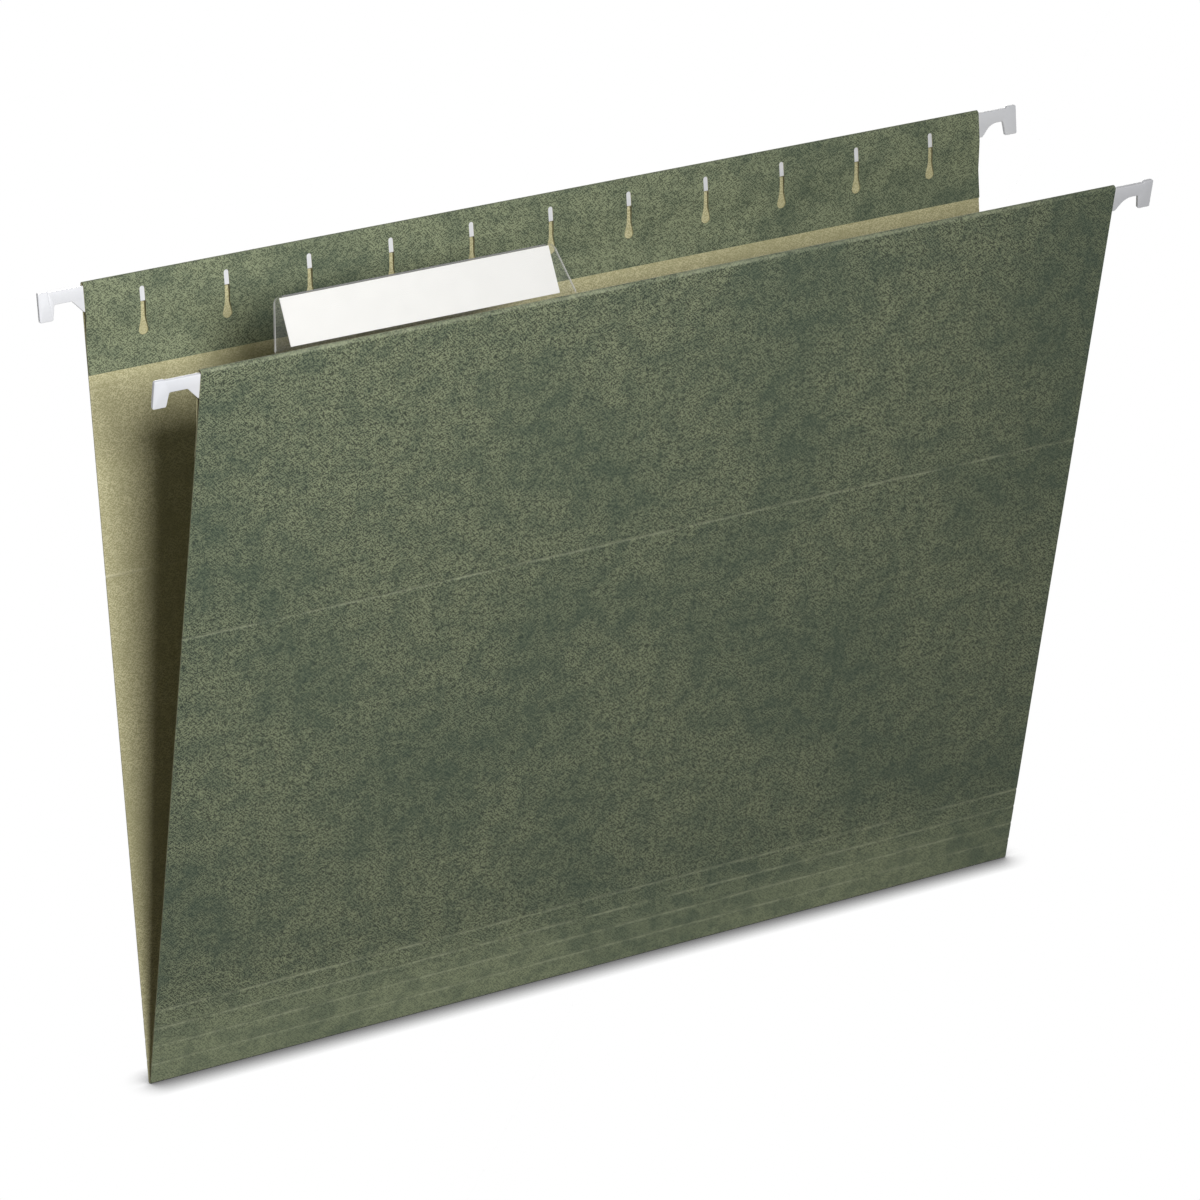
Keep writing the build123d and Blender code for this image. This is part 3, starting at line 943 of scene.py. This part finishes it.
# %% Path across the living hinge
VINYL = 0.25 * MM
TAB_SLOT = -3
HINGE_DROP = 0.3 * MM
HINGE_GAP = 0.35 * MM
HINGE = on_panel(1, FLAP_FACE - PAPER - VINYL / 2, FOLDER_HEIGHT - HINGE_DROP, TAB_SLOT * SLOT_PITCH)
foot_way = on_panel(1, 0, 0) - on_panel(1, 0, 1)
tab_way = Vector((0, math.sin(TAB_LEAN), math.cos(TAB_LEAN)))
hinge_path = [HINGE + foot_way * HINGE_GAP * share for share in (1, 0.66, 0.33)]
hinge_path += [HINGE + tab_way * HINGE_GAP * share for share in (0, 0.33, 0.66, 1)]
print("living hinge at", HINGE)

# %% Living hinge
HINGE_WIDTH = 94 * MM
HINGE_THICKNESS = 0.14 * MM
half = Vector((HINGE_WIDTH / 2, 0, 0))
mesh = bmesh.new()
rings = []
for index, point in enumerate(hinge_path):
    along = hinge_path[min(index + 1, len(hinge_path) - 1)] - hinge_path[max(index - 1, 0)]
    out = Vector((1, 0, 0)).cross(along).normalized() * HINGE_THICKNESS / 2
    corners = (-half - out, half - out, half + out, -half + out)
    rings.append([mesh.verts.new(point + corner) for corner in corners])
for low, high in zip(rings, rings[1:]):
    for corner in range(4):
        after = (corner + 1) % 4
        mesh.faces.new((low[corner], low[after], high[after], high[corner]))
mesh.faces.new(rings[0][::-1])
mesh.faces.new(rings[-1])
bmesh.ops.recalc_face_normals(mesh, faces=mesh.faces)
tab_hinge = link("tab_hinge", finished_mesh("tab_hinge", mesh, clear_vinyl))
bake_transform(tab_hinge)
print(tab_hinge.name, len(tab_hinge.data.polygons), "faces")

# %% [markdown]
# ## Floor
# The folder stands on a white floor, as for a catalogue. A floor bright enough to look white would pour
# light on the folder. So the camera looks through the floor to a white sky, and sees only the soft
# shadow that the folder leaves where it touches. That also keeps the front half in sight when the
# folder hangs open below its crease. To light that bounces, the floor is a plain grey surface.

# %% Floor
FLOOR_Z = CREASE_Z - CREASE_RADIUS - PAPER
FLOOR_REACH = 6
CONTACT = 8 * MM
CONTACT_SAMPLES = 16
FLOOR_PAINT = (0.5, 0.5, 0.5, 1)
WHITE = (1, 1, 1, 1)
floor_material, wire = new_material("studio_floor")
rays = wire.node("ShaderNodeLightPath")
open_air = wire.node(
    "ShaderNodeAmbientOcclusion", {"samples": CONTACT_SAMPLES}, {"Color": WHITE, "Distance": CONTACT})
shade = wire.mix(open_air, open_air, 1.0, "MULTIPLY")
shadow = wire.node("ShaderNodeBsdfTransparent", None, {"Color": shade})
clear = wire.node("ShaderNodeBsdfTransparent", None, {"Color": WHITE})
paint = wire.node("ShaderNodeBsdfDiffuse", None, {"Color": FLOOR_PAINT})
unseen = wire.node("ShaderNodeMixShader", None, {0: rays.other("Is Diffuse Ray"), 1: clear, 2: paint})
shader = wire.node("ShaderNodeMixShader", None, {0: rays.other("Is Camera Ray"), 1: unseen, 2: shadow})
wire.node("ShaderNodeOutputMaterial", None, {"Surface": shader})
corners = [(x * FLOOR_REACH, y * FLOOR_REACH, FLOOR_Z) for x, y in ((-1, -1), (1, -1), (1, 1), (-1, 1))]
floor_mesh = bpy.data.meshes.new("floor")
floor_mesh.from_pydata(corners, [], [(0, 1, 2, 3)])
floor_mesh.materials.append(floor_material)
link("floor", floor_mesh)
print("floor at", round(FLOOR_Z, 5))

# %% [markdown]
# ## Light
# An even white sky would be the simplest light, but it would leave the paper flat. So the sky is white
# where the camera, a reflection or a clear sheet looks at it, and almost dark as a light. One soft lamp
# in front of the folder, above it and to its left, does the lighting, and fades to the sides, so that
# the front grows darker towards the right. A weaker lamp behind keeps the other side in sight.

# %% Sky
SKY_LIGHT = 0.02
world = bpy.data.worlds.new("studio")
bpy.context.scene.world = world
world.use_nodes = True
world.node_tree.nodes.clear()
wire = Wire(world.node_tree)
rays = wire.node("ShaderNodeLightPath")
seen = rays.math("MAXIMUM", rays.other("Is Glossy Ray"), rays.other("Is Transmission Ray"))
seen = rays.math("MAXIMUM", rays.other("Is Camera Ray"), seen)
strength = SKY_LIGHT + (1 - SKY_LIGHT) * seen
sky = wire.node("ShaderNodeBackground", None, {"Color": WHITE, "Strength": strength})
wire.node("ShaderNodeOutputWorld", None, {"Surface": sky})
print("sky as a light:", SKY_LIGHT)

# %% Lamps
LAMPS = {
    "key": {
        "place": (-0.28, -0.85, 0.46), "aim": (-0.16, 0, 0.14), "size": 0.26, "power": 1.75, "spread": 76},
    "back": {
        "place": (0.45, 1.05, 0.1), "aim": (0, 0, -0.1), "size": 0.4, "power": 0.75, "spread": 60}}


def soft_lamp(name, place, aim, size, power, spread):
    """Square soft light at a place, turned to a point, that fades to the sides within its spread."""
    lamp = bpy.data.lights.new(name, "AREA")
    lamp.size = size
    lamp.energy = power
    lamp.spread = math.radians(spread)
    holder = link(name, lamp)
    holder.location = place
    holder.rotation_euler = (Vector(aim) - Vector(place)).to_track_quat("-Z", "Y").to_euler()


for name, values in LAMPS.items():
    soft_lamp(name, **values)
print("lamps:", ", ".join(LAMPS))

# %% [markdown]
# ## Camera
# The viewpoint was worked out from the corners of the folder in the photograph: a long lens, a little
# above and to the left, with a slight roll. A camera placed by eye would do for a picture, but the
# smaller pieces were measured through this one, so it stays as it was found.

# %% Camera
TURN = math.radians(-31.299)
RISE = math.radians(24.874)
ROLL = math.radians(1.329)
DISTANCE = 1708.906 * MM
SLIDE = (0.742 * MM, -0.410 * MM)
FOCUS = 5852.443
IMAGE = 1200
SENSOR = 36
FARTHEST = 50
AIM = Vector((0, 0, 120 * MM + CREASE_Z))
behind = Vector((math.sin(TURN) * math.cos(RISE), -math.cos(TURN) * math.cos(RISE), math.sin(RISE)))
level = Vector((0, 0, 1)).cross(behind).normalized()
upright = behind.cross(level)
right = level * math.cos(ROLL) + upright * math.sin(ROLL)
up = upright * math.cos(ROLL) - level * math.sin(ROLL)
lens = bpy.data.cameras.new("camera")
lens.sensor_width = SENSOR
lens.lens = SENSOR * FOCUS / IMAGE
lens.clip_end = FARTHEST
camera = link("camera", lens)
spot = AIM - right * SLIDE[0] - up * SLIDE[1] + behind * DISTANCE
camera.matrix_world = Matrix.Translation(spot) @ Matrix((right, up, behind)).transposed().to_4x4()
bpy.context.scene.camera = camera
bpy.context.scene.view_settings.view_transform = "Standard"
print("camera at", [round(value, 3) for value in spot], "lens", round(lens.lens, 1))
